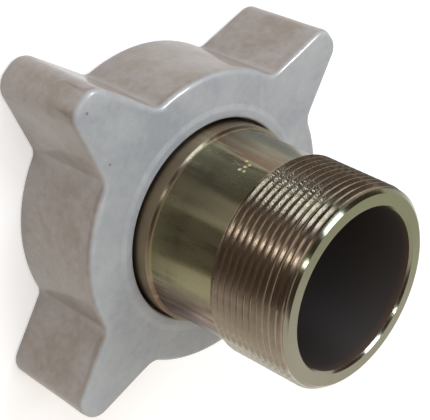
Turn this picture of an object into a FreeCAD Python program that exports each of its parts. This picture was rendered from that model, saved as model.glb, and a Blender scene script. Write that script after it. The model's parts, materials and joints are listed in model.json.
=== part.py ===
"""Swivel filler coupling, in millimetres.

A cast handwheel nut with four lugs turns freely on a turned nipple. The nut's mouth has a female acme
thread for the tank valve. The lip inside the nut pulls the nipple's flange against the valve, and a flat
gasket in the flange makes the seal. The nipple's other end is a male taper pipe thread.

The axis is Z. The origin is the centre of the nut's mouth face, and +Z runs to the pipe thread's end.
"""
import math
import os

import FreeCAD, Part

# Nut body
NUT_DEPTH = 33.0
BODY_RADIUS = 47.0
DRAFT_DEG = 1.5
FRONT_EDGE_CHAMFER = 1.2
MOUTH_EDGE_CHAMFER = 1.0

# Nut lugs
LUG_COUNT = 4
LUG_REACH = 22.3
LUG_TIP_HALF_WIDTH = 5.0
LUG_SIDE_DEG = 18.0
LUG_TIP_ROUND = 5.4
LUG_VALLEY_ROUND = 5.0

# Nut inside: acme thread, relief and lip
ACME_MAJOR_RADIUS = 41.5
ACME_THREAD_DEPTH = 2.3
ACME_LENGTH = 16.0
MOUTH_CHAMFER = 1.2
RELIEF_DEPTH = 0.7
LIP_THICKNESS = 6.5
LIP_CHAMFER = 0.6
BOSS_RING_WIDTH = 2.6
BOSS_RING_HEIGHT = 0.4

# Nipple flange and collar
FLANGE_THICKNESS = 6.5
FLANGE_THREAD_CLEARANCE = 0.5
FLANGE_LIP_CLEARANCE = 0.3
FLANGE_CHAMFER = 0.5
COLLAR_RADIUS = 31.4
COLLAR_LIP_CLEARANCE = 0.9
COLLAR_STANDOUT = 4.6
SHOULDER_DROP = 1.1
SHOULDER_LENGTH = 0.9

# Nipple bore and neck
STANDOUT = 55.2
FLOW_RADIUS = 23.8
FLOW_CHAMFER = 0.4
NECK_RADIUS = 29.8
WAIST_RADIUS = 29.2
FLARE_LENGTH = 6.5
FLARE_ROUND = 20.0

# Male taper pipe thread, as the cone of its crests
PIPE_THREAD_LENGTH = 26.6
PIPE_END_RADIUS = 29.7
PIPE_TAPER = 1 / 32
PIPE_RUNOUT_DEG = 45.0
LEAD_CHAMFER_LENGTH = 1.7
LEAD_CHAMFER_DROP = 1.5

# Seal gasket
GASKET_OUTER_RADIUS = 33.5
GASKET_WIDTH = 6.9
GASKET_THICKNESS = 3.6
GASKET_PROUD = 0.7
GASKET_CLEARANCE = 0.2

# Heights that follow from the sizes above
ACME_END = MOUTH_CHAMFER + ACME_LENGTH
LIP_UNDERSIDE = NUT_DEPTH - LIP_THICKNESS
FLANGE_TOP = LIP_UNDERSIDE - FLANGE_LIP_CLEARANCE
SEAT_FACE = FLANGE_TOP - FLANGE_THICKNESS
GASKET_BACK = SEAT_FACE + GASKET_THICKNESS - GASKET_PROUD
BOSS_RING_TOP = NUT_DEPTH + BOSS_RING_HEIGHT
COLLAR_END = NUT_DEPTH + COLLAR_STANDOUT
PIPE_END = NUT_DEPTH + STANDOUT
PIPE_START = PIPE_END - PIPE_THREAD_LENGTH

# Radii that follow from the sizes above
LIP_RADIUS = COLLAR_RADIUS + COLLAR_LIP_CLEARANCE
RELIEF_RADIUS = ACME_MAJOR_RADIUS + RELIEF_DEPTH
FLANGE_RADIUS = ACME_MAJOR_RADIUS - ACME_THREAD_DEPTH - FLANGE_THREAD_CLEARANCE
GASKET_INNER_RADIUS = GASKET_OUTER_RADIUS - GASKET_WIDTH
DRAFT_GROWTH = NUT_DEPTH * math.tan(math.radians(DRAFT_DEG))

# How far a cutter runs past the face that it cuts
OVERRUN = 1.0


def turned(section):
    """Solid turned from a closed half section of (radius, height) or (radius, height, corner round)."""
    points = [FreeCAD.Vector(step[0], 0, step[1]) for step in section]
    rounds = [step[2] if len(step) == 3 else 0 for step in section]
    edges = []
    leaves = []
    arrives = []
    for i, point in enumerate(points):
        back = (points[i - 1] - point).normalize()
        ahead = (points[(i + 1) % len(points)] - point).normalize()
        half_angle = back.getAngle(ahead) / 2
        reach = rounds[i] / math.tan(half_angle)
        arrives.append(point + back * reach)
        leaves.append(point + ahead * reach)
        if rounds[i]:
            inward = (back + ahead).normalize()
            middle = point + inward * rounds[i] * (1 / math.sin(half_angle) - 1)
            edges.append(Part.Arc(arrives[i], middle, leaves[i]).toShape())
    for i in range(len(points)):
        edges.append(Part.LineSegment(leaves[i - 1], arrives[i]).toShape())
    outline = Part.Wire(Part.__sortEdges__(edges))
    return Part.Face(outline).revolve(FreeCAD.Vector(0, 0, 0), FreeCAD.Vector(0, 0, 1), 360)


def lug_plan(growth, height):
    """Plan of one lug along +X, grown by the draft: a straight wedge from inside the body to its tip."""
    slope = math.tan(math.radians(LUG_SIDE_DEG))
    tip = BODY_RADIUS + LUG_REACH + growth
    root = ACME_MAJOR_RADIUS / 2
    tip_half = LUG_TIP_HALF_WIDTH + growth / math.cos(math.radians(LUG_SIDE_DEG)) - growth * slope
    root_half = tip_half + (tip - root) * slope
    plan = [(root, -root_half), (tip, -tip_half), (tip, tip_half), (root, root_half)]
    corners = [FreeCAD.Vector(x, y, height) for x, y in plan]
    return Part.makePolygon(corners + corners[:1])


def upright_edges(shape, inside, outside):
    """Edges that run the nut's full depth, with their middle between two distances from the axis."""
    found = []
    for edge in shape.Edges:
        heights = [vertex.Z for vertex in edge.Vertexes]
        middle = edge.valueAt((edge.FirstParameter + edge.LastParameter) / 2)
        full_depth = max(heights) - min(heights) > NUT_DEPTH / 2
        if full_depth and inside < math.hypot(middle.x, middle.y) < outside:
            found.append(edge)
    return found


def level_edges(shape, height):
    """Edges that lie wholly at one height."""
    return [edge for edge in shape.Edges if all(abs(v.Z - height) < 1e-6 for v in edge.Vertexes)]


def nut_casting():
    """The nut as it leaves the mould, still solid: drafted body and lugs, rounded upright, chamfered level edges."""
    blank = Part.makeCone(BODY_RADIUS + DRAFT_GROWTH, BODY_RADIUS, NUT_DEPTH)
    lug = Part.makeLoft([lug_plan(DRAFT_GROWTH, 0), lug_plan(0, NUT_DEPTH)], True, True)
    lugs = []
    for i in range(LUG_COUNT):
        lugs.append(lug.rotated(FreeCAD.Vector(0, 0, 0), FreeCAD.Vector(0, 0, 1), 360 * i / LUG_COUNT))
    blank = blank.multiFuse(lugs).removeSplitter().Solids[0]
    lug_middle = BODY_RADIUS + LUG_REACH / 2
    blank = blank.makeFillet(LUG_TIP_ROUND, upright_edges(blank, lug_middle, math.inf))
    blank = blank.makeFillet(LUG_VALLEY_ROUND, upright_edges(blank, 0, lug_middle))
    blank = blank.makeChamfer(FRONT_EDGE_CHAMFER, level_edges(blank, NUT_DEPTH))
    return blank.makeChamfer(MOUTH_EDGE_CHAMFER, level_edges(blank, 0))


def boss_ring():
    """Low plain ring on the nut's front face, round the lip's bore."""
    inner = LIP_RADIUS - OVERRUN
    outer = LIP_RADIUS + BOSS_RING_WIDTH
    return turned([
        (inner, NUT_DEPTH - OVERRUN),
        (outer, NUT_DEPTH - OVERRUN),
        (outer, BOSS_RING_TOP),
        (inner, BOSS_RING_TOP),
    ])


def nut_cavity():
    """What is machined out of the nut: mouth chamfer, acme bore, relief, lip and its chamfered front edge."""
    return turned([
        (0, -OVERRUN),
        (ACME_MAJOR_RADIUS + MOUTH_CHAMFER + OVERRUN, -OVERRUN),
        (ACME_MAJOR_RADIUS, MOUTH_CHAMFER),
        (ACME_MAJOR_RADIUS, ACME_END),
        (RELIEF_RADIUS, ACME_END + RELIEF_DEPTH),
        (RELIEF_RADIUS, LIP_UNDERSIDE),
        (LIP_RADIUS, LIP_UNDERSIDE),
        (LIP_RADIUS, BOSS_RING_TOP - LIP_CHAMFER),
        (LIP_RADIUS + LIP_CHAMFER + OVERRUN, BOSS_RING_TOP + OVERRUN),
        (0, BOSS_RING_TOP + OVERRUN),
    ])


def make_handwheel_nut():
    """Cast four lug nut, bored for the acme thread and for the nipple's collar."""
    return nut_casting().fuse(boss_ring()).removeSplitter().cut(nut_cavity()).Solids[0]


def make_nipple():
    """Turned nipple: seat face with its gasket recess, flange, collar, flared neck and pipe thread cone."""
    recess_inner = GASKET_INNER_RADIUS - GASKET_CLEARANCE
    recess_outer = GASKET_OUTER_RADIUS + GASKET_CLEARANCE
    start_radius = PIPE_END_RADIUS + PIPE_THREAD_LENGTH * PIPE_TAPER
    lead_radius = PIPE_END_RADIUS + LEAD_CHAMFER_LENGTH * PIPE_TAPER
    runout = (start_radius - WAIST_RADIUS) / math.tan(math.radians(PIPE_RUNOUT_DEG))
    return turned([
        (FLOW_RADIUS, SEAT_FACE + FLOW_CHAMFER),
        (FLOW_RADIUS + FLOW_CHAMFER, SEAT_FACE),
        (recess_inner, SEAT_FACE),
        (recess_inner, GASKET_BACK),
        (recess_outer, GASKET_BACK),
        (recess_outer, SEAT_FACE),
        (FLANGE_RADIUS - FLANGE_CHAMFER, SEAT_FACE),
        (FLANGE_RADIUS, SEAT_FACE + FLANGE_CHAMFER),
        (FLANGE_RADIUS, FLANGE_TOP - FLANGE_CHAMFER),
        (FLANGE_RADIUS - FLANGE_CHAMFER, FLANGE_TOP),
        (COLLAR_RADIUS, FLANGE_TOP),
        (COLLAR_RADIUS, COLLAR_END),
        (COLLAR_RADIUS - SHOULDER_DROP, COLLAR_END + SHOULDER_LENGTH),
        (NECK_RADIUS, COLLAR_END + FLARE_LENGTH, FLARE_ROUND),
        (WAIST_RADIUS, PIPE_START - runout),
        (start_radius, PIPE_START),
        (lead_radius, PIPE_END - LEAD_CHAMFER_LENGTH),
        (PIPE_END_RADIUS - LEAD_CHAMFER_DROP, PIPE_END),
        (FLOW_RADIUS + FLOW_CHAMFER, PIPE_END),
        (FLOW_RADIUS, PIPE_END - FLOW_CHAMFER),
    ])


def make_seal_gasket():
    """Flat rubber ring that sits on the floor of the recess and stands proud of the seat face."""
    return turned([
        (GASKET_INNER_RADIUS, GASKET_BACK - GASKET_THICKNESS),
        (GASKET_OUTER_RADIUS, GASKET_BACK - GASKET_THICKNESS),
        (GASKET_OUTER_RADIUS, GASKET_BACK),
        (GASKET_INNER_RADIUS, GASKET_BACK),
    ])


def main():
    os.makedirs("parts", exist_ok=True)
    make_handwheel_nut().exportStep("parts/handwheel_nut.step")
    make_nipple().exportStep("parts/nipple.step")
    make_seal_gasket().exportStep("parts/seal_gasket.step")


if __name__ == "__main__":
    main()
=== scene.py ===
"""Looks of a swivel filler coupling: an enamelled cast nut that turns on a plated, turned nipple.

Sizes are in millimetres, and a mesh takes them in metres. The axis is Z: the nut stands on its mouth at
height 0, and the pipe thread ends at the top. Sizes that the frame states are read from it.
"""

import json
import math

import bmesh
import bpy
import numpy as np
from mathutils import Matrix, Vector


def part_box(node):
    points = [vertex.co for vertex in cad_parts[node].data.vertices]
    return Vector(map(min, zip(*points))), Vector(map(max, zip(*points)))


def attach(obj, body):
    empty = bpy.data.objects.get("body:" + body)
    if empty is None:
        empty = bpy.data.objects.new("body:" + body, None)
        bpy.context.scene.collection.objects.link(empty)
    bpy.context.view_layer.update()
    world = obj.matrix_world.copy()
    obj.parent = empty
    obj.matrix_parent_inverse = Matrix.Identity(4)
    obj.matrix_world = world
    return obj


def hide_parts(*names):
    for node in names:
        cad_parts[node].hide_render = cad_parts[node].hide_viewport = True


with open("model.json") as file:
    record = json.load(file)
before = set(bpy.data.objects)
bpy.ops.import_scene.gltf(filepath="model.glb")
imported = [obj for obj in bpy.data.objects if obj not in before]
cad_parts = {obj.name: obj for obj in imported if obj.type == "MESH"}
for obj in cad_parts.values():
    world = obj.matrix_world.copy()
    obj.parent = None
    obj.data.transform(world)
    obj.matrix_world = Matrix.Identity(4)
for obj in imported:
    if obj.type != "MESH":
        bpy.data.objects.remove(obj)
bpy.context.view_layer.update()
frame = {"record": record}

MM = 0.001
INCH = 25.4


def node_box(name):
    """Lowest and highest corner of a CAD node, in millimetres."""
    low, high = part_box(name)
    return np.array(low) / MM, np.array(high) / MM


def mount_size(name, size):
    """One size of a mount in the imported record, in millimetres."""
    mounts = {mount["name"]: mount for mount in frame["record"]["mounts"]}
    return mounts[name]["dims"][size]


_, nut_high = node_box("handwheel_nut")
nipple_low, nipple_high = node_box("nipple")
gasket_low, gasket_high = node_box("seal_gasket")

# Nut casting: a low ring round its hole with a soft slope, the four-lug body, and its edges' rounds
BOSS_RING_HEIGHT = 0.4
BOSS_RING_WIDTH = 2.6
BOSS_SLOPE_WIDTH = 1.6
BOSS_FOOT_WIDTH = 2.4
BOSS_ROUND = 1.5
NUT_DEPTH = nut_high[2] - BOSS_RING_HEIGHT
BODY_RADIUS = 47.0
LUG_REACH = 22.3
LUG_TIP_HALF_WIDTH = 5.0
LUG_SIDE_DEG = 18.0
LUG_TIP_ROUND = 5.4
LUG_VALLEY_ROUND = 5.0
DRAFT_GROWTH = nut_high[0] - BODY_RADIUS - LUG_REACH
FRONT_ROUND = 1.8
MOUTH_ROUND = 1.4

# Swell of the cast skin: its waves and their lengths, its height, how far the skin sinks where the waves
# cancel, and the part of the front, counted from the ring, over which the swell rises
SWELL_SEED = 7
SWELL_WAVES = 14
SWELL_LENGTHS = (9, 34)
SWELL_HEIGHT = 0.2
SWELL_SINK = 0.02
SWELL_RISE = 0.25

# Nut inside. A thread's crest and root widths and the places of its rows are parts of its pitch
ACME_MAJOR = mount_size("acme_socket", "r_mm")
ACME_TURNS_TO_INCH = 6
ACME_PITCH = INCH / ACME_TURNS_TO_INCH
ACME_DEPTH = 2.3
ACME_CREST = 0.37
ACME_FLANK_DEG = 14.5
ACME_RUNOUT = 1.6
ACME_PLACES = np.array([0, 0.1745, 0.245, 0.315, 0.5, 0.685, 0.755, 0.8255])
MOUTH_CHAMFER = 1.2
ACME_TOP = MOUTH_CHAMFER + mount_size("acme_socket", "length_mm")
RELIEF_DEPTH = 0.7
RELIEF_ROUND = 0.8
LIP_THICKNESS = 6.5
LIP_UNDERSIDE = NUT_DEPTH - LIP_THICKNESS
LIP_ROUND = 0.8
LIP_UNDERSIDE_ROUND = 0.3
PAINTED_HOLE_DEPTH = 1.0

# Nipple
SEAT_FACE = nipple_low[2]
PIPE_END = nipple_high[2]
FLANGE_RADIUS = nipple_high[0]
FLANGE_PLAY = 0.3
FLANGE_TOP = LIP_UNDERSIDE - FLANGE_PLAY
FLANGE_ROUND = 0.5
COLLAR_RADIUS = 31.4
COLLAR_STAND = 4.6
COLLAR_END = NUT_DEPTH + COLLAR_STAND
COLLAR_FOOT_ROUND = 0.4
COLLAR_ROUND = 0.25
COLLAR_PLAY = 0.9
LIP_RADIUS = COLLAR_RADIUS + COLLAR_PLAY
SHOULDER_DROP = 1.1
SHOULDER_LENGTH = 0.73
SHOULDER_ROUND = 1.0
FLARE_LENGTH = 6.5
FLARE_ROUND = 20.0
NECK_RADIUS = 29.8
WAIST_RADIUS = 29.2
WAIST_LENGTH = 0.4
FLOW_RADIUS = mount_size("flow_bore", "r_mm")
BORE_ROUND = 0.4
RECESS_PLAY = 0.2
RECESS_ROUND = 0.15

# Male taper pipe thread, and the two narrow facets of the pipe's end
NPT_TURNS_TO_INCH = 11.5
NPT_PITCH = INCH / NPT_TURNS_TO_INCH
NPT_TAPER = 1 / 32
NPT_DEPTH = 1.19
NPT_END_RADIUS = mount_size("pipe_thread", "r_mm")
NPT_START = PIPE_END - mount_size("pipe_thread", "length_mm")
NPT_CREST = 0.04
NPT_ROOT = 0.06
NPT_LEAD = 1.18
NPT_RUN_IN = 0.5
NPT_PLACES = np.array([0, 0.03, 0.12, 0.21, 0.3, 0.39, 0.48, 0.5, 0.52, 0.61, 0.7, 0.79, 0.88, 0.97])
LEAD_CHAMFER_SLOPE = 1.5 / 1.7
RUNOUT_SLOPE = 1.73
EDGE_INSET = 0.82
EDGE_FACET_WIDTH = 1.0
EDGE_FACET_DROP = 0.77
BORE_FACET_WIDTH = 0.72
BORE_FACET_DROP = 0.74
FACET_ROUND = 0.1
EDGE_RADIUS = NPT_END_RADIUS - EDGE_INSET
NPT_TOP = PIPE_END - EDGE_FACET_DROP

# Seal
GASKET_RADIUS = gasket_high[0]
GASKET_FACE = gasket_low[2]
GASKET_BACK = gasket_high[2]
GASKET_WIDTH = 6.9
GASKET_ROUND = 0.4

# Fineness of the meshes. The last but one of the mouth's shares lies beside its edge, where the paint ends.
# Points nearer than the weld gap are joined, edges shorter than a sliver go, and sizes that differ by less
# than the tolerance are the same
LUG_TIP_STEPS = 9
LUG_SIDE_STEPS = 15
LUG_VALLEY_STEPS = 8
BODY_STEPS = 22
FRONT_ROWS = 12
FRONT_ROUND_ROWS = 7
WALL_ROWS = 20
MOUTH_ROUND_ROWS = 6
MOUTH_SHARES = [0.25, 0.5, 0.75, 0.99, 1]
ROUND_STEPS = 5
NIPPLE_COLUMNS = 300
GASKET_COLUMNS = 160
SHARP_DEG = 40
WELD_GAP = 0.002
SLIVER = 0.0001
TOLERANCE = 0.001

# Grain of the finishes: the size of each pattern, and how deep its relief is for a height of 1. The sand's
# grit and the turning marks are too fine to show, so both are drawn coarser
CLOUD_SIZE = 16
MOTTLE_SIZE = 2.4
GRIT_SIZE = 0.8
ENAMEL_RELIEF = 0.12
STREAK_WIDTH = 2.5
STREAK_LENGTH = 26
TURNING_RELIEF = 0.03
TEAR_SIZE = 0.7
TEAR_RELIEF = 0.11
BLOOM_SIZE = 3
BLOOM_RELIEF = 0.05

# The chromate film: the turn that brings the camera's side to the middle of its colours, which are in part
# painted reflection, how far the streaks shift them, in turns, how far its pale worn tone, in part a painted
# highlight, reaches above the shoulder, and how far the bore, painted dark as shade, lightens to brown from
# the pipe's end
CAMERA_SIDE_TURN_DEG = 79.4
STREAK_SHIFT = 0.1
RUBBED_AND_HIGHLIGHT_ABOVE = 0.5
BORE_LIGHTENING_LENGTH = 3.5

# Tones of the film, laid round the pipe partly as its own tints and partly as painted reflection: plain, then
# thick and dark, which also paint dark surroundings mirrored in the metal, then thin, and last where it is
# worn through to the steel
OLIVE = "#868162"
WARM_OLIVE = "#90846E"
GREY_OLIVE = "#868572"
PALE_OLIVE = "#94987C"
DARK_OLIVE = "#6A6450"
BROWN = "#705B4A"
MAUVE = "#634838"
UMBER = "#442C1A"
DARK_REFLECTION = "#4B4239"
TAUPE = "#847566"
TAN = "#9E8F7C"
PALE_TAN = "#AAA090"
THIN_FILM = "#A6A694"
BARE_EDGE = "#B0AD9E"
BARE_STEEL = "#CFCFC9"

# Small marks that the photograph shows: pits as points, nicks as degrees and heights, and the thread's torn
# crests, whose height counts from the thread's start
ENAMEL_PITS = [(-57.5, -9.3, 17.8), (1.4, -65.6, 33.0), (7.6, -49.1, 33.0), (2.6, -69.5, 14.4)]
PIT_RADIUS = 0.5
PIT_DEPTH = 0.24
NECK_NICKS = [(32.5, 54.9), (32.5, 53.3), (37.8, 54.5), (39.5, 52.6), (35.5, 53.9)]
NICK_RADIUS = 0.7
NICK_DEPTH = 0.36
TORN_DEG = 42
TORN_ABOVE = 9
TORN_RADIUS = 14

# Photograph: its size and the camera that was fitted to it, in pixels, degrees and millimetres
PHOTO_WIDTH = 430
PHOTO_HEIGHT = 420
FOCAL_PIXELS = 995.7
PIPE_END_PIXEL = (357.9, 291.47)
PIPE_END_DISTANCE = 266.95
SIGHT_TILT_DEG = 50.89
PICTURE_TURN_DEG = 25.91
LUG_TURN_DEG = -10.56

# Studio: the floor and the glow that lifts it, and black flags as (aside, toward camera) from the axis, or
# as degrees from there to aside
FLOOR_HALF = 3000
FLOOR_DROP = 0.05
FLOOR_LIFT = 0.34
FLAG_INNER = 84
FLAG_OUTER = 420
FLAG_POINTS = 7
FLAG_HEIGHT = 1.0
FLOOR_FLAGS_DEG = {"left_floor_flag": (-52, -4), "right_floor_flag": (24, 68)}
OVERHEAD_HEIGHT = 900
OVERHEAD_FLAG = [(-600, 1000), (-600, -400), (500, -480), (1100, -1250), (2100, -1500), (2100, 1000)]

# Numbers of a Mix node's sockets: its factor, and its two inputs and its output for values and for colours
FACTOR = 0
VALUE_A, VALUE_B, VALUE_OUT = 2, 3, 0
COLOUR_A, COLOUR_B, COLOUR_OUT = 6, 7, 2


def spaced(start, end, steps):
    """Numbers from start to end, the first left out: start + (end - start) k / steps, k from 1 to steps."""
    return start + (end - start) * np.arange(1, steps + 1) / steps


def rays(angles):
    """Unit vectors (cos a, sin a) at the angles."""
    return np.stack([np.cos(angles), np.sin(angles)], 1)


def lug_outline():
    """Outline of the nut's front, and its outward normals, as two arrays of (x, y).

    An eighth of it runs from a lug's middle to the body's middle: a flat tip, an arc at the tip's corner, the
    straight side, an arc in the valley and an arc of the body. It is mirrored in the lug's middle line, and
    the pair is turned to the four lugs. The valley's arc touches the side and the body, so its centre lies
    its radius beside the side's line, and its radius and the body's away from the axis.
    """
    side = math.radians(LUG_SIDE_DEG)
    normal = np.array([math.sin(side), math.cos(side)])
    along = np.array([-math.cos(side), math.sin(side)])
    corner = np.array([BODY_RADIUS + LUG_REACH, LUG_TIP_HALF_WIDTH])
    tip_cut = LUG_TIP_ROUND * math.tan(math.radians(90 - LUG_SIDE_DEG) / 2)
    tip_centre = corner - np.array([LUG_TIP_ROUND, tip_cut])
    side_angle = math.pi / 2 - side
    beside = corner + LUG_VALLEY_ROUND * normal
    rise = beside @ along
    reach = BODY_RADIUS + LUG_VALLEY_ROUND
    valley_centre = beside - (rise + math.sqrt(rise ** 2 - beside @ beside + reach ** 2)) * along
    body_angle = math.atan2(valley_centre[1], valley_centre[0])

    flat_y = tip_centre[1] * np.array([0.0, 0.5, 1.0])
    points = [np.stack([np.full(3, corner[0]), flat_y], 1)]
    normals = [np.tile([1.0, 0.0], (3, 1))]

    def arc(centre, radius, first, last, steps, outward=1):
        """Adds the points centre + radius (cos a, sin a), with normals along their rays or against them."""
        ray = rays(spaced(first, last, steps))
        points.append(centre + radius * ray)
        normals.append(outward * ray)

    arc(tip_centre, LUG_TIP_ROUND, 0, side_angle, LUG_TIP_STEPS)
    side_start = tip_centre + LUG_TIP_ROUND * normal
    side_end = valley_centre - LUG_VALLEY_ROUND * normal
    points.append(side_start + (side_end - side_start) * spaced(0, 1, LUG_SIDE_STEPS)[:, None])
    normals.append(np.tile(normal, (LUG_SIDE_STEPS, 1)))
    arc(valley_centre, LUG_VALLEY_ROUND, side_angle + math.pi, body_angle + math.pi, LUG_VALLEY_STEPS, -1)
    arc(np.zeros(2), BODY_RADIUS, body_angle, math.pi / 4, BODY_STEPS)

    eighth = np.concatenate(points)
    eighth_normals = np.concatenate(normals)
    mirror = np.array([1.0, -1.0])
    quarter = np.concatenate([eighth[1:-1][::-1] * mirror, eighth])
    quarter_normals = np.concatenate([eighth_normals[1:-1][::-1] * mirror, eighth_normals])
    outline = []
    outline_normals = []
    for lug in range(4):
        c, s = math.cos(lug * math.pi / 2), math.sin(lug * math.pi / 2)
        turned = np.array([[c, s], [-s, c]])
        outline.append(quarter @ turned)
        outline_normals.append(quarter_normals @ turned)
    return np.concatenate(outline), np.concatenate(outline_normals)


def rounded(corners):
    """Section line through (radius, height, round) corners, as an array: each corner is an arc of its round.

    The arc's ends lie round / tan(half the corner's angle) from the corner, and its points turn about its
    centre.
    """
    knots = np.array([corner[:2] for corner in corners], float)
    line = [knots[:1]]
    for i in range(1, len(corners) - 1):
        back = knots[i - 1] - knots[i]
        ahead = knots[i + 1] - knots[i]
        back /= np.hypot(*back)
        ahead /= np.hypot(*ahead)
        size = corners[i][2]
        if size == 0:
            line.append(knots[i:i + 1])
            continue
        half = math.acos(float(np.clip(back @ ahead, -1, 1))) / 2
        middle = back + ahead
        centre = knots[i] + middle / np.hypot(*middle) * size / math.sin(half)
        first = knots[i] + back * size / math.tan(half) - centre
        last = knots[i] + ahead * size / math.tan(half) - centre
        start = math.atan2(first[1], first[0])
        swing = (math.atan2(last[1], last[0]) - start + math.pi) % (2 * math.pi) - math.pi
        line.append(centre + size * rays(start + swing * np.arange(ROUND_STEPS + 1) / ROUND_STEPS))
    line.append(knots[-1:])
    return np.concatenate(line)


def turned_rows(line, angles):
    """Surface of revolution: the section's points (r, z) at every angle are (r cos a, r sin a, z)."""
    radius = line[:, :1]
    x = radius * np.cos(angles)
    y = radius * np.sin(angles)
    z = np.broadcast_to(line[:, 1:], x.shape)
    return np.stack([x, y, z], 2)


def helix_rows(angles, pitch, low, high, shape, places, lead=0.0):
    """Screw surface whose rows follow the thread.

    Row n of a turn lies at height low - 2 pitch + lead + pitch (turn + places[n] + angle / 2 pi), held
    between low and high, so past an angle of 2 pi each row goes on as the same row of the next turn. The
    first row is at low and the last at high all the way round. shape(part of the pitch, height) gives the
    radius.
    """
    turns = math.ceil((high - low) / pitch) + 3
    part = np.tile(places, turns)[:, None]
    turn = np.repeat(np.arange(turns), len(places))[:, None]
    height = low - 2 * pitch + lead + pitch * (turn + part + angles / (2 * math.pi))
    height = np.clip(height, low, high)
    radius = shape(np.broadcast_to(part, height.shape), height)
    return np.stack([radius * np.cos(angles), radius * np.sin(angles), height], 2)


def sheet_faces(rows, columns, first, shift=0):
    """Corner numbers of the quads between rows. The last column joins the first, shift rows further on."""
    row = np.arange(rows - 1)[:, None]
    column = np.arange(columns)[None, :]
    after = (column + 1) % columns
    step = np.where(column == columns - 1, shift, 0)
    a = row * columns + column
    b = (row + step) * columns + after
    quads = np.stack([a, b, b + columns, a + columns], 2).reshape(-1, 4)
    quads = quads[quads.max(1) < rows * columns]
    return quads + first


def mesh_piece(name, sheets, body, replaced, material, marks=None):
    """One closed piece from sheets of (points, row shift), welded where they meet, with faces outwards.

    marks holds a number for each point under each name, which the material reads as an attribute.
    """
    points = np.concatenate([sheet.reshape(-1, 3) for sheet, _ in sheets])
    faces = []
    first = 0
    for sheet, shift in sheets:
        rows, columns = sheet.shape[:2]
        faces.append(sheet_faces(rows, columns, first, shift))
        first += rows * columns
    faces = np.concatenate(faces)
    mesh = bpy.data.meshes.new(name)
    mesh.from_pydata(points * MM, [], faces.tolist())
    for mark, values in (marks or {}).items():
        attribute = mesh.attributes.new(mark, "FLOAT", "POINT")
        attribute.data.foreach_set("value", values.astype(np.float32))
    work = bmesh.new()
    work.from_mesh(mesh)
    bmesh.ops.remove_doubles(work, verts=work.verts, dist=WELD_GAP * MM)
    bmesh.ops.dissolve_degenerate(work, edges=work.edges, dist=SLIVER * MM)
    bmesh.ops.recalc_face_normals(work, faces=work.faces)
    work.to_mesh(mesh)
    work.free()
    mesh.shade_smooth()
    mesh.set_sharp_from_angle(angle=math.radians(SHARP_DEG))
    mesh.materials.append(material)
    piece = bpy.data.objects.new(name, mesh)
    bpy.context.scene.collection.objects.link(piece)
    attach(piece, body)
    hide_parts(replaced)
    return piece


def smooth_step(value):
    """0 below 0, 1 above 1, and 3 v^2 - 2 v^3 between."""
    value = np.clip(value, 0, 1)
    return value * value * (3 - 2 * value)


def cast_swell(points):
    """Low swell of a sand-cast skin: the mean of plane sine waves, each with its own direction and length."""
    waves = np.random.default_rng(SWELL_SEED)
    total = np.zeros(points.shape[:-1])
    for _ in range(SWELL_WAVES):
        way = waves.normal(size=3)
        way *= 2 * math.pi / (np.linalg.norm(way) * waves.uniform(*SWELL_LENGTHS))
        total += np.sin(points @ way + waves.uniform(0, 2 * math.pi))
    return total / SWELL_WAVES


def acme_wall(part, height):
    """Radius of the nut's acme thread: a flat crest half way along the pitch, two flanks, a flat root.

    The ridge runs out below the relief, and the mouth's 45 degree chamfer cuts its first turn.
    """
    flank = ACME_DEPTH * math.tan(math.radians(ACME_FLANK_DEG)) / ACME_PITCH
    away = np.abs(part - 0.5) - ACME_CREST / 2
    ridge = ACME_DEPTH * (1 - np.clip(away / flank, 0, 1))
    ridge = ridge * smooth_step((ACME_TOP - height) / ACME_RUNOUT)
    return np.maximum(ACME_MAJOR - ridge, ACME_MAJOR + MOUTH_CHAMFER - height)


def npt_wall(part, height):
    """Radius of the male taper thread: a worn V groove between small crest flats, cut into the crests' cone.

    The lead chamfer cuts the first crests down to the end's edge. A runout takes the last down to the waist.
    """
    away = np.abs(part - 0.5) - NPT_CREST / 2
    slope = np.clip(away / (0.5 - NPT_CREST / 2 - NPT_ROOT / 2), 0, 1)
    groove = NPT_DEPTH * slope * smooth_step((height - NPT_START) / NPT_RUN_IN)
    crests = NPT_END_RADIUS + (PIPE_END - height) * NPT_TAPER
    lead = EDGE_RADIUS + (NPT_TOP - height) * LEAD_CHAMFER_SLOPE
    runout = WAIST_RADIUS + (height - NPT_START) * RUNOUT_SLOPE
    threaded = np.minimum(crests - groove, runout)
    return np.minimum(np.maximum(threaded, np.minimum(EDGE_RADIUS, runout)), lead)


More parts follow.
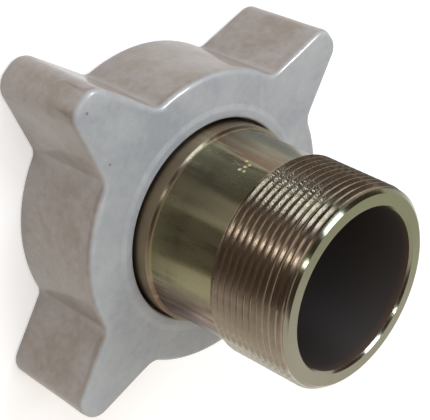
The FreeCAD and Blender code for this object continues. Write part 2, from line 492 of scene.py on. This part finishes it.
def casting_outside(outline, normals, circle, foot_radius, mouth_radius):
    """Outside of the casting as rows of points, and how far each row belongs to the upright wall, 0 to 1.

    A row is level: the outline moved along its normals by the draft's growth less an edge round's inset. The
    front's rows blend from a circle to the outline, and the mouth's from the outline to a circle. The skin
    then sinks by the swell, down where it is level and inwards where it is upright.
    """
    def drafted(height, inset=0.0):
        """The outline moved out by the draft's growth, none at the front and full at 0, less an inset."""
        growth = DRAFT_GROWTH * (1 - height / NUT_DEPTH)
        return outline + (growth - inset) * normals

    rows = []
    for share in np.linspace(0, 1, FRONT_ROWS):
        flat = foot_radius * circle * (1 - share) + drafted(NUT_DEPTH, FRONT_ROUND) * share
        rows.append((flat, NUT_DEPTH, 0, min(1, share / SWELL_RISE)))
    for turn in spaced(math.pi / 2, 0, FRONT_ROUND_ROWS):
        height = NUT_DEPTH - FRONT_ROUND * (1 - math.sin(turn))
        flat = drafted(height, FRONT_ROUND * (1 - math.cos(turn)))
        rows.append((flat, height, math.cos(turn) ** 2, 1))
    for height in np.linspace(NUT_DEPTH - FRONT_ROUND, MOUTH_ROUND, WALL_ROWS)[1:]:
        rows.append((drafted(height), height, 1, 1))
    for turn in spaced(0, math.pi / 2, MOUTH_ROUND_ROWS):
        height = MOUTH_ROUND * (1 - math.sin(turn))
        flat = drafted(height, MOUTH_ROUND * (1 - math.cos(turn)))
        rows.append((flat, height, math.cos(turn) ** 2, math.cos(turn)))
    for share in MOUTH_SHARES:
        flat = drafted(0, MOUTH_ROUND) * (1 - share) + mouth_radius * circle * share
        rows.append((flat, 0, 0, 0))

    outside = np.stack([
        np.concatenate([flat, np.full((len(flat), 1), height)], 1) for flat, height, _, _ in rows
    ])
    wall = np.array([upright for _, _, upright, _ in rows], float)
    swelling = np.array([part for _, _, _, part in rows], float)
    depth = np.maximum(SWELL_SINK + SWELL_HEIGHT * cast_swell(outside), 0) * swelling[:, None]
    outside[..., 2] -= depth * (1 - wall)[:, None]
    outside[..., :2] -= (depth * wall[:, None])[..., None] * normals
    return outside, wall


def nut_piece(material):
    """The nut: the casting's outside, a section turned through its hole, its thread and its mouth."""
    outline, normals = lug_outline()
    angles = np.unwrap(np.arctan2(outline[:, 1], outline[:, 0]))
    boss_radius = LIP_RADIUS + BOSS_RING_WIDTH
    boss_top = NUT_DEPTH + BOSS_RING_HEIGHT
    foot_radius = boss_radius + BOSS_FOOT_WIDTH
    mouth_radius = ACME_MAJOR + MOUTH_CHAMFER
    outside, wall = casting_outside(outline, normals, rays(angles), foot_radius, mouth_radius)
    section = rounded([
        (foot_radius, NUT_DEPTH, 0),
        (boss_radius + BOSS_SLOPE_WIDTH, NUT_DEPTH, BOSS_ROUND),
        (boss_radius, boss_top, BOSS_ROUND),
        (LIP_RADIUS, boss_top, LIP_ROUND),
        (LIP_RADIUS, LIP_UNDERSIDE, LIP_UNDERSIDE_ROUND),
        (ACME_MAJOR + RELIEF_DEPTH, LIP_UNDERSIDE, RELIEF_ROUND),
        (ACME_MAJOR + RELIEF_DEPTH, ACME_TOP + RELIEF_DEPTH, 0),
        (ACME_MAJOR, ACME_TOP, 0),
    ])
    inside = turned_rows(section, angles)
    thread = helix_rows(angles, ACME_PITCH, MOUTH_CHAMFER, ACME_TOP, acme_wall, ACME_PLACES)
    mouth = turned_rows(np.array([(ACME_MAJOR, MOUTH_CHAMFER), (mouth_radius, 0)]), angles)
    sheets = [(outside, 0), (inside, 0), (thread, len(ACME_PLACES)), (mouth, 0)]
    bored = section[:, 1] < boss_top - PAINTED_HOLE_DEPTH
    cut_rows = len(thread) + len(mouth)
    walls = np.concatenate([wall, np.zeros(len(section) + cut_rows)])
    machined = np.concatenate([np.zeros(len(wall) - 1), [1], bored, np.ones(cut_rows)])
    marks = {
        "wall": np.repeat(walls, len(angles)),
        "machined": np.repeat(machined, len(angles)),
    }
    return mesh_piece(
        "handwheel_casting", sheets, "handwheel", "handwheel_nut", material, marks)


def nipple_piece(material):
    """The nipple: a section turned about the axis, from the pipe's end round to the neck, and the thread."""
    angles = 2 * math.pi * np.arange(NIPPLE_COLUMNS) / NIPPLE_COLUMNS
    recess_outer = GASKET_RADIUS + RECESS_PLAY
    recess_inner = GASKET_RADIUS - GASKET_WIDTH - RECESS_PLAY
    facet_foot = PIPE_END - BORE_FACET_DROP
    section = rounded([
        (EDGE_RADIUS, NPT_TOP, 0),
        (EDGE_RADIUS - EDGE_FACET_WIDTH, PIPE_END, FACET_ROUND),
        (FLOW_RADIUS + BORE_FACET_WIDTH, PIPE_END, FACET_ROUND),
        (FLOW_RADIUS, facet_foot, FACET_ROUND),
        (FLOW_RADIUS, SEAT_FACE, BORE_ROUND),
        (recess_inner, SEAT_FACE, RECESS_ROUND),
        (recess_inner, GASKET_BACK, 0),
        (recess_outer, GASKET_BACK, 0),
        (recess_outer, SEAT_FACE, RECESS_ROUND),
        (FLANGE_RADIUS, SEAT_FACE, FLANGE_ROUND),
        (FLANGE_RADIUS, FLANGE_TOP, FLANGE_ROUND),
        (COLLAR_RADIUS, FLANGE_TOP, COLLAR_FOOT_ROUND),
        (COLLAR_RADIUS, COLLAR_END, COLLAR_ROUND),
        (COLLAR_RADIUS - SHOULDER_DROP, COLLAR_END + SHOULDER_LENGTH, SHOULDER_ROUND),
        (NECK_RADIUS, COLLAR_END + FLARE_LENGTH, FLARE_ROUND),
        (WAIST_RADIUS, NPT_START - WAIST_LENGTH, 0),
        (WAIST_RADIUS, NPT_START, 0),
    ])
    body = turned_rows(section, angles)
    thread = helix_rows(angles, NPT_PITCH, NPT_START, NPT_TOP, npt_wall, NPT_PLACES, NPT_LEAD)
    sheets = [(body, 0), (thread, len(NPT_PLACES))]
    radius, height = section.T
    bore = (radius < FLOW_RADIUS + TOLERANCE) & (height < facet_foot)
    end_face = (height > facet_foot - FACET_ROUND) & ~bore
    thread_end = thread[..., 2].ravel() > NPT_TOP - TOLERANCE
    bores = np.concatenate([bore, np.zeros(len(thread))])
    threaded = np.concatenate([height > NPT_START - TOLERANCE, np.ones(len(thread))])
    marks = {
        "bore": np.repeat(bores, NIPPLE_COLUMNS),
        "end_face": np.concatenate([np.repeat(end_face, NIPPLE_COLUMNS), thread_end]),
        "thread": np.repeat(threaded, NIPPLE_COLUMNS),
    }
    return mesh_piece("turned_nipple", sheets, "nipple", "nipple", material, marks)


def gasket_piece(material):
    """The seal: a flat ring with soft corners, a section turned about the axis and closed on itself."""
    angles = 2 * math.pi * np.arange(GASKET_COLUMNS) / GASKET_COLUMNS
    inner = GASKET_RADIUS - GASKET_WIDTH
    middle = GASKET_RADIUS - GASKET_WIDTH / 2
    section = rounded([
        (middle, GASKET_FACE, 0),
        (GASKET_RADIUS, GASKET_FACE, GASKET_ROUND),
        (GASKET_RADIUS, GASKET_BACK, GASKET_ROUND),
        (inner, GASKET_BACK, GASKET_ROUND),
        (inner, GASKET_FACE, GASKET_ROUND),
        (middle, GASKET_FACE, 0),
    ])
    sheets = [(turned_rows(section, angles), 0)]
    return mesh_piece("rubber_seal", sheets, "nipple", "seal_gasket", material)


def hex_colour(code):
    """Linear colour, with an alpha of 1, from an sRGB hex code."""
    parts = [int(code[i:i + 2], 16) / 255 for i in (1, 3, 5)]
    linear = [p / 12.92 if p <= 0.04045 else ((p + 0.055) / 1.055) ** 2.4 for p in parts]
    return (*linear, 1.0)


def add(tree, kind, inputs=None, stops=None, **settings):
    """Adds a node with its settings. An input is a value or an output socket to link. Stops fill a ramp."""
    node = tree.nodes.new(kind)
    for name, value in settings.items():
        setattr(node, name, value)
    for key, value in (inputs or {}).items():
        if isinstance(value, bpy.types.NodeSocket):
            tree.links.new(value, node.inputs[key])
        else:
            node.inputs[key].default_value = value
    if stops:
        elements = node.color_ramp.elements
        while len(elements) < len(stops):
            elements.new(0.5)
        for element, (place, colour) in zip(elements, stops):
            element.position = place
            element.color = hex_colour(colour)
    return node


def blank_material(name):
    """A new material: its tree, its shader and its object coordinates in metres."""
    material = bpy.data.materials.new(name)
    material.use_nodes = True
    tree = material.node_tree
    shader = tree.nodes["Principled BSDF"]
    place = add(tree, "ShaderNodeTexCoord").outputs["Object"]
    return material, tree, shader, place


def spot_mask(tree, place, centres, radius):
    """Mask that is 1 in the middle of each spot and falls to 0 at its radius, from spherical gradients."""
    total = None
    for centre in centres:
        away = add(tree, "ShaderNodeMapping", {
            "Vector": place,
            "Location": [-part / radius for part in centre],
            "Scale": [1 / (radius * MM)] * 3,
        }).outputs["Vector"]
        spot = add(tree, "ShaderNodeTexGradient", {"Vector": away}, gradient_type="SPHERICAL").outputs["Fac"]
        total = add(tree, "ShaderNodeMath", {0: spot, 1: total or 0.0}, operation="MAXIMUM").outputs[0]
    return add(tree, "ShaderNodeMapRange", {"Value": total, "From Max": 0.5}).outputs["Result"]


def pipe_point(degrees, radius, height):
    """Point of the pipe's outside, in millimetres, its degrees counted from the camera's side to aside."""
    turn = math.radians(-CAMERA_SIDE_TURN_DEG - degrees)
    return radius * math.cos(turn), radius * math.sin(turn), height


def enamelled_casting():
    """Semi-gloss light grey enamel over a sand casting: soft lumps under a smooth film, and the walls painted
    darker and warmer than the front as shade.

    The walls' painted shade starts part of the way round their edges. Bare metal shows where the inside is
    machined.
    """
    material, tree, shader, place = blank_material("grey enamel over sand casting")
    wall = add(tree, "ShaderNodeAttribute", attribute_name="wall").outputs["Fac"]
    wall = add(tree, "ShaderNodeMapRange", {"Value": wall, "From Min": 0.35}).outputs["Result"]
    machined = add(tree, "ShaderNodeAttribute", attribute_name="machined").outputs["Fac"]
    cloud = add(tree, "ShaderNodeTexNoise", {
        "Vector": place, "Scale": 1 / (CLOUD_SIZE * MM), "Detail": 4.0, "Roughness": 0.6,
    }).outputs["Fac"]
    mottle = add(tree, "ShaderNodeTexNoise", {
        "Vector": place, "Scale": 1 / (MOTTLE_SIZE * MM), "Detail": 3.0, "Roughness": 0.6,
    }).outputs["Fac"]
    grit = add(tree, "ShaderNodeTexNoise", {
        "Vector": place, "Scale": 1 / (GRIT_SIZE * MM), "Detail": 2.0,
    }).outputs["Fac"]
    shade = add(tree, "ShaderNodeMath", {0: mottle, 1: 0.5, 2: cloud}, operation="MULTIPLY_ADD").outputs[0]
    # One enamel as two ramps: the front's lit tone, and the walls' darker, warmer tone, which is painted
    # shade
    face = add(tree, "ShaderNodeValToRGB", {"Fac": shade}, [(0.57, "#989CA0"), (0.93, "#AAADAC")])
    side = add(tree, "ShaderNodeValToRGB", {"Fac": shade}, [(0.57, "#776C5F"), (0.93, "#8D8681")])
    pits = spot_mask(tree, place, ENAMEL_PITS, PIT_RADIUS)
    colour = face.outputs["Color"]
    for mask, over in [
        (wall, side.outputs["Color"]), (pits, hex_colour("#7D7670")), (machined, hex_colour("#8E8B86")),
    ]:
        colour = add(tree, "ShaderNodeMix", {
            FACTOR: mask, COLOUR_A: colour, COLOUR_B: over,
        }, data_type="RGBA").outputs[COLOUR_OUT]
    tree.links.new(colour, shader.inputs["Base Color"])
    tree.links.new(machined, shader.inputs["Metallic"])
    gloss = add(tree, "ShaderNodeMapRange", {
        "Value": mottle, "From Min": 0.3, "From Max": 0.7, "To Min": 0.42, "To Max": 0.52,
    }).outputs["Result"]
    tree.links.new(gloss, shader.inputs["Roughness"])
    shader.inputs["Coat Weight"].default_value = 0.5
    shader.inputs["Coat Roughness"].default_value = 0.06
    shader.inputs["Coat IOR"].default_value = 1.6
    lumps = add(tree, "ShaderNodeMath", {0: mottle, 1: grit}, operation="ADD").outputs[0]
    height = add(tree, "ShaderNodeMath", {
        0: pits, 1: -PIT_DEPTH / ENAMEL_RELIEF, 2: lumps,
    }, operation="MULTIPLY_ADD").outputs[0]
    bump = add(tree, "ShaderNodeBump", {
        "Height": height, "Strength": 0.4, "Distance": ENAMEL_RELIEF * MM,
    })
    tree.links.new(bump.outputs["Normal"], shader.inputs["Normal"])
    return material


def chromated_steel():
    """Turned steel under yellow zinc chromate: the film goes from olive to tan and umber round the pipe, laid
    by the angle from the camera's side, partly as its own tint and partly as painted reflection.

    Fine turning rings spread a reflection along the axis, so bright and dark run along the neck as streaks,
    which the film's colours round the pipe also paint. The film is worn on the thread, chipped by nicks, worn
    pale at the collar, where it reaches up the shoulder partly as a painted highlight, and thin on the end
    face.
    The bore is dull and painted dark as shade, lighter and browner near the pipe's end.
    """
    material, tree, shader, place = blank_material("yellow zinc chromate on turned steel")
    bore, end_face, thread = [
        add(tree, "ShaderNodeAttribute", attribute_name=mark).outputs["Fac"]
        for mark in ("bore", "end_face", "thread")
    ]
    height = add(tree, "ShaderNodeSeparateXYZ", {0: place}).outputs["Z"]
    along = add(tree, "ShaderNodeMapping", {
        "Vector": place,
        "Scale": [1 / (size * MM) for size in (STREAK_WIDTH, STREAK_WIDTH, STREAK_LENGTH)],
    }).outputs["Vector"]
    streak = add(tree, "ShaderNodeTexNoise", {
        "Vector": along, "Scale": 1.0, "Detail": 3.0, "Roughness": 0.6,
    }).outputs["Fac"]

    # Share of the way round the pipe from the camera's side, shifted by the streaks, which gives the film's
    # colour and the painted reflection in it
    turned = add(tree, "ShaderNodeMapping", {
        "Vector": place, "Rotation": [0, 0, math.radians(CAMERA_SIDE_TURN_DEG)],
    }).outputs["Vector"]
    parts = add(tree, "ShaderNodeSeparateXYZ", {0: turned}).outputs
    angle = add(tree, "ShaderNodeMath", {0: parts["Y"], 1: parts["X"]}, operation="ARCTAN2").outputs[0]
    share = add(tree, "ShaderNodeMapRange", {
        "Value": angle, "From Min": -math.pi, "From Max": math.pi,
        "To Min": -STREAK_SHIFT / 2, "To Max": 1 - STREAK_SHIFT / 2,
    }).outputs["Result"]
    share = add(tree, "ShaderNodeMath", {
        0: streak, 1: STREAK_SHIFT, 2: share,
    }, operation="MULTIPLY_ADD").outputs[0]
    # Painted reflection in part: the film's dark and pale bands round the pipe stand for dark and bright
    # surroundings mirrored from the camera's side
    film = add(tree, "ShaderNodeValToRGB", {"Fac": share}, [
        (0.00, OLIVE), (0.33, GREY_OLIVE), (0.38, BROWN), (0.40, PALE_OLIVE), (0.46, DARK_OLIVE),
        (0.61, OLIVE), (0.64, TAN), (0.67, MAUVE), (0.71, UMBER), (0.75, UMBER), (0.86, OLIVE),
    ]).outputs["Color"]
    # The thread's worn film, its bands round the pipe likewise partly painted reflection
    worn_film_and_reflection = add(tree, "ShaderNodeValToRGB", {"Fac": share}, [
        (0.00, WARM_OLIVE), (0.14, GREY_OLIVE), (0.29, DARK_REFLECTION), (0.34, TAN), (0.37, PALE_TAN),
        (0.41, DARK_OLIVE), (0.47, TAN), (0.56, TAUPE), (0.67, PALE_TAN), (0.71, BARE_STEEL),
        (0.86, GREY_OLIVE),
    ]).outputs["Color"]
    # The end face's thin film, its tones round the pipe partly painted reflection, and pale partly as a
    # painted highlight on its facets
    faced_end_and_reflection = add(tree, "ShaderNodeValToRGB", {"Fac": share}, [
        (0.00, THIN_FILM), (0.17, PALE_OLIVE), (0.47, PALE_OLIVE), (0.58, THIN_FILM), (0.68, BARE_EDGE),
        (0.90, THIN_FILM),
    ]).outputs["Color"]

    nick_places = [pipe_point(degrees, NECK_RADIUS, up) for degrees, up in NECK_NICKS]
    nicks = spot_mask(tree, place, nick_places, NICK_RADIUS)
    # Pale worn tone at the collar, reaching up the shoulder partly as a painted highlight that brightens and
    # warms its gleam
    rubbed_and_highlight_top = COLLAR_END + SHOULDER_LENGTH + RUBBED_AND_HIGHLIGHT_ABOVE
    rubbed_and_highlight = add(tree, "ShaderNodeMapRange", {
        "Value": height, "From Min": rubbed_and_highlight_top * MM, "From Max": COLLAR_END * MM, "To Max": 0.6,
    }).outputs["Result"]
    # The bore painted dark as shade, lighter and browner over its last millimetres towards the pipe's end
    toward_pipe_end = add(tree, "ShaderNodeMapRange", {
        "Value": height, "From Min": (PIPE_END - BORE_LIGHTENING_LENGTH) * MM, "From Max": PIPE_END * MM,
    }).outputs["Result"]
    painted_bore_shade = add(tree, "ShaderNodeMix", {
        FACTOR: toward_pipe_end, COLOUR_A: hex_colour("#423D3A"), COLOUR_B: hex_colour("#634A3A"),
    }, data_type="RGBA").outputs[COLOUR_OUT]

    # What lies over the film, one after the other: where, its colour and its roughness
    colour = film
    gloss = add(tree, "ShaderNodeMapRange", {
        "Value": streak, "From Min": 0.3, "From Max": 0.7, "To Min": 0.24, "To Max": 0.34,
    }).outputs["Result"]
    for mask, over, roughness in [
        (thread, worn_film_and_reflection, 0.26), (nicks, hex_colour("#F0E2AC"), 0.45), (rubbed_and_highlight, hex_colour("#A18E78"), 0.3),
        (end_face, faced_end_and_reflection, 0.19), (bore, painted_bore_shade, 0.5),
    ]:
        colour = add(tree, "ShaderNodeMix", {
            FACTOR: mask, COLOUR_A: colour, COLOUR_B: over,
        }, data_type="RGBA").outputs[COLOUR_OUT]
        gloss = add(tree, "ShaderNodeMix", {
            FACTOR: mask, VALUE_A: gloss, VALUE_B: roughness,
        }).outputs[VALUE_OUT]
    tree.links.new(colour, shader.inputs["Base Color"])
    tree.links.new(gloss, shader.inputs["Roughness"])
    metal = add(tree, "ShaderNodeMapRange", {"Value": bore, "To Min": 1.0, "To Max": 0.3}).outputs["Result"]
    tree.links.new(metal, shader.inputs["Metallic"])
    shader.inputs["Anisotropic"].default_value = 0.8
    shader.inputs["Anisotropic Rotation"].default_value = 0.25
    round_pipe = add(tree, "ShaderNodeTangent", direction_type="RADIAL", axis="Z").outputs["Tangent"]
    tree.links.new(round_pipe, shader.inputs["Tangent"])

    torn = add(tree, "ShaderNodeTexNoise", {
        "Vector": place, "Scale": 1 / (TEAR_SIZE * MM), "Detail": 1.0,
    }).outputs["Fac"]
    torn_place = pipe_point(TORN_DEG, NPT_END_RADIUS, NPT_START + TORN_ABOVE)
    patch = spot_mask(tree, place, [torn_place], TORN_RADIUS)
    for mask in (patch, thread):
        torn = add(tree, "ShaderNodeMath", {0: torn, 1: mask}, operation="MULTIPLY").outputs[0]
    marked = add(tree, "ShaderNodeMath", {
        0: nicks, 1: -NICK_DEPTH / TURNING_RELIEF, 2: streak,
    }, operation="MULTIPLY_ADD").outputs[0]
    lines = add(tree, "ShaderNodeBump", {
        "Height": marked, "Strength": 0.3, "Distance": TURNING_RELIEF * MM,
    }).outputs["Normal"]
    bump = add(tree, "ShaderNodeBump", {
        "Height": torn, "Strength": 1.0, "Distance": TEAR_RELIEF * MM, "Normal": lines,
    })
    tree.links.new(bump.outputs["Normal"], shader.inputs["Normal"])
    return material


def nitrile_rubber():
    """Moulded nitrile rubber: matt black with a faint grey bloom."""
    material, tree, shader, place = blank_material("moulded nitrile rubber")
    bloom = add(tree, "ShaderNodeTexNoise", {
        "Vector": place, "Scale": 1 / (BLOOM_SIZE * MM), "Detail": 3.0,
    }).outputs["Fac"]
    black = add(tree, "ShaderNodeValToRGB", {"Fac": bloom}, [(0.3, "#1B1B1C"), (0.7, "#29292A")])
    tree.links.new(black.outputs["Color"], shader.inputs["Base Color"])
    shader.inputs["Roughness"].default_value = 0.7
    bump = add(tree, "ShaderNodeBump", {"Height": bloom, "Strength": 0.2, "Distance": BLOOM_RELIEF * MM})
    tree.links.new(bump.outputs["Normal"], shader.inputs["Normal"])
    return material


def stage_sheet(name, corners, material):
    """Flat sheet of the studio, not part of the object, through corners in millimetres."""
    mesh = bpy.data.meshes.new(name)
    mesh.from_pydata(np.array(corners) * MM, [], [range(len(corners))])
    mesh.materials.append(material)
    sheet = bpy.data.objects.new(name, mesh)
    bpy.context.scene.collection.objects.link(sheet)
    return sheet


def card_floor():
    """Pale studio floor: a wide matt sheet just under the part, lifted to white for camera and mirrors."""
    material, tree, shader, _ = blank_material("matt white card")
    shader.inputs["Base Color"].default_value = hex_colour("#F3F0EB")
    shader.inputs["Roughness"].default_value = 0.9
    shader.inputs["Emission Color"].default_value = hex_colour("#F3F6FB")
    ray = add(tree, "ShaderNodeLightPath").outputs
    seen = ray["Is Camera Ray"]
    for kind in ("Is Glossy Ray", "Is Transmission Ray"):
        seen = add(tree, "ShaderNodeMath", {0: seen, 1: ray[kind]}, operation="ADD").outputs[0]
    lift = add(tree, "ShaderNodeMath", {0: seen, 1: FLOOR_LIFT}, operation="MULTIPLY").outputs[0]
    tree.links.new(lift, shader.inputs["Emission Strength"])
    half, low = FLOOR_HALF, -FLOOR_DROP
    corners = [(-half, -half, low), (half, -half, low), (half, half, low), (-half, half, low)]
    stage_sheet("studio_floor", corners, material)


def photo_axes():
    """The photograph's right, up and towards-camera directions in the part's frame.

    The part's axis leans from the line of sight by SIGHT_TILT_DEG and points down to the right in the picture
    by PICTURE_TURN_DEG. The lugs are turned about it by LUG_TURN_DEG.
    """
    tilt, turn = math.radians(SIGHT_TILT_DEG), math.radians(PICTURE_TURN_DEG)
    lug = math.radians(LUG_TURN_DEG)
    axis = np.array([math.sin(tilt) * math.cos(turn), math.sin(tilt) * math.sin(turn), -math.cos(tilt)])
    across = np.array([axis[1], -axis[0], 0]) / math.hypot(axis[0], axis[1])
    facing = np.cross(axis, across)
    x_axis = -(math.cos(lug) * across + math.sin(lug) * facing)
    y_axis = math.sin(lug) * across - math.cos(lug) * facing
    right, down, away = np.stack([x_axis, y_axis, axis], 1)
    return right, -down, -away


def camera_side():
    """Level directions in the part's frame: towards the camera, and to its side, the key lamp's."""
    back = photo_axes()[2]
    toward = np.array([back[0], back[1], 0]) / math.hypot(back[0], back[1])
    return toward, np.cross(toward, [0, 0, 1])


def black_flags():
    """Dark cards of the studio, seen only in reflections: two low beside the part and one overhead."""
    material, tree, _, _ = blank_material("black flag")
    glow = add(tree, "ShaderNodeEmission", {"Color": hex_colour("#4A3B33")}).outputs[0]
    tree.links.new(glow, tree.nodes["Material Output"].inputs["Surface"])
    toward, aside = camera_side()
    cards = {}
    for name, (first, last) in FLOOR_FLAGS_DEG.items():
        turn = np.radians(np.linspace(first, last, FLAG_POINTS))[:, None]
        ray = np.cos(turn) * toward + np.sin(turn) * aside
        ring = np.concatenate([FLAG_INNER * ray, FLAG_OUTER * ray[::-1]])
        cards[name] = ring + np.array([0, 0, FLAG_HEIGHT])
    overhead = np.array(OVERHEAD_FLAG)
    overhead = overhead[:, :1] * aside + overhead[:, 1:] * toward
    cards["overhead_flag"] = overhead + np.array([0, 0, OVERHEAD_HEIGHT])
    for name, corners in cards.items():
        card = stage_sheet(name, corners, material)
        card.visible_camera = False
        card.visible_diffuse = False
        card.visible_shadow = False


def placed(axes, spot):
    """World matrix with the three axes as its columns, at a spot in millimetres."""
    return Matrix([[*(axis[i] for axis in axes), spot[i] * MM] for i in range(3)] + [[0, 0, 0, 1]])


def photo_camera():
    """Camera of the photograph, at its distance and with its focal length in pixels."""
    right, up, back = photo_axes()
    off_x = (PIPE_END_PIXEL[0] - PHOTO_WIDTH / 2) / FOCAL_PIXELS * PIPE_END_DISTANCE
    off_y = (PIPE_END_PIXEL[1] - PHOTO_HEIGHT / 2) / FOCAL_PIXELS * PIPE_END_DISTANCE
    spot = np.array([0, 0, PIPE_END]) - off_x * right + off_y * up + PIPE_END_DISTANCE * back
    data = bpy.data.cameras.new("photo_camera")
    data.sensor_width = 36
    data.lens = FOCAL_PIXELS / PHOTO_WIDTH * data.sensor_width
    data.clip_start = 0.01
    data.clip_end = 20
    camera = bpy.data.objects.new("photo_camera", data)
    camera.matrix_world = placed((right, up, back), spot)
    bpy.context.scene.collection.objects.link(camera)
    bpy.context.scene.camera = camera


def softbox(name, place, size, radiance, turn_deg=0, colour="#FFFFFF", in_metal=True):
    """Area lamp facing the part's middle. Its place is (aside, toward camera, up) from there, sizes in mm.

    Its first size lies aside, turned from there towards the camera by turn_deg. An area lamp's watts are pi
    times its area times its radiance. A lamp that isn't in_metal lights the part and isn't mirrored in it.
    """
    toward, aside = camera_side()
    offset = Vector(place[0] * aside + place[1] * toward + np.array([0, 0, place[2]]))
    data = bpy.data.lights.new(name, "AREA")
    data.shape = "RECTANGLE"
    data.size, data.size_y = size[0] * MM, size[1] * MM
    data.energy = math.pi * data.size * data.size_y * radiance
    data.color = hex_colour(colour)[:3]
    lamp = bpy.data.objects.new(name, data)
    z_axis = offset.normalized()
    turn = math.radians(turn_deg)
    x_axis = Vector(math.cos(turn) * aside + math.sin(turn) * toward)
    x_axis = (x_axis - x_axis.dot(z_axis) * z_axis).normalized()
    y_axis = z_axis.cross(x_axis)
    lamp.matrix_world = placed((x_axis, y_axis, z_axis), offset + Vector((0, 0, PIPE_END / 2)))
    lamp.visible_glossy = in_metal
    bpy.context.scene.collection.objects.link(lamp)
    return lamp


def studio(casting):
    """Pale world and soft lamps at a plain level, and a lamp that only gleams on the nut."""
    scene = bpy.context.scene
    scene.view_settings.view_transform = "Standard"
    world = bpy.data.worlds.new("studio")
    world.use_nodes = True
    scene.world = world
    sky = world.node_tree.nodes["Background"]
    sky.inputs["Color"].default_value = hex_colour("#DED8D0")
    sky.inputs["Strength"].default_value = 1.0
    softbox("key_softbox", (394, 104, 660), (250, 190), 10.5, turn_deg=-30, colour="#DDE9FF")
    softbox("side_softbox", (620, 260, 330), (500, 300), 1.1)
    softbox("fill_softbox", (320, 560, 260), (420, 420), 2.8, colour="#DEE9FF", in_metal=False)
    softbox("bare_lamp", (12, 245, 650), (40, 80), 22)
    glint = softbox("glint_lamp", (520, 20, 660), (220, 140), 45)
    glint.visible_diffuse = False
    nut_only = bpy.data.collections.new("glint_lamp_receivers")
    nut_only.objects.link(casting)
    glint.light_linking.receiver_collection = nut_only


casting = nut_piece(enamelled_casting())
nipple_piece(chromated_steel())
gasket_piece(nitrile_rubber())
card_floor()
black_flags()
photo_camera()
studio(casting)
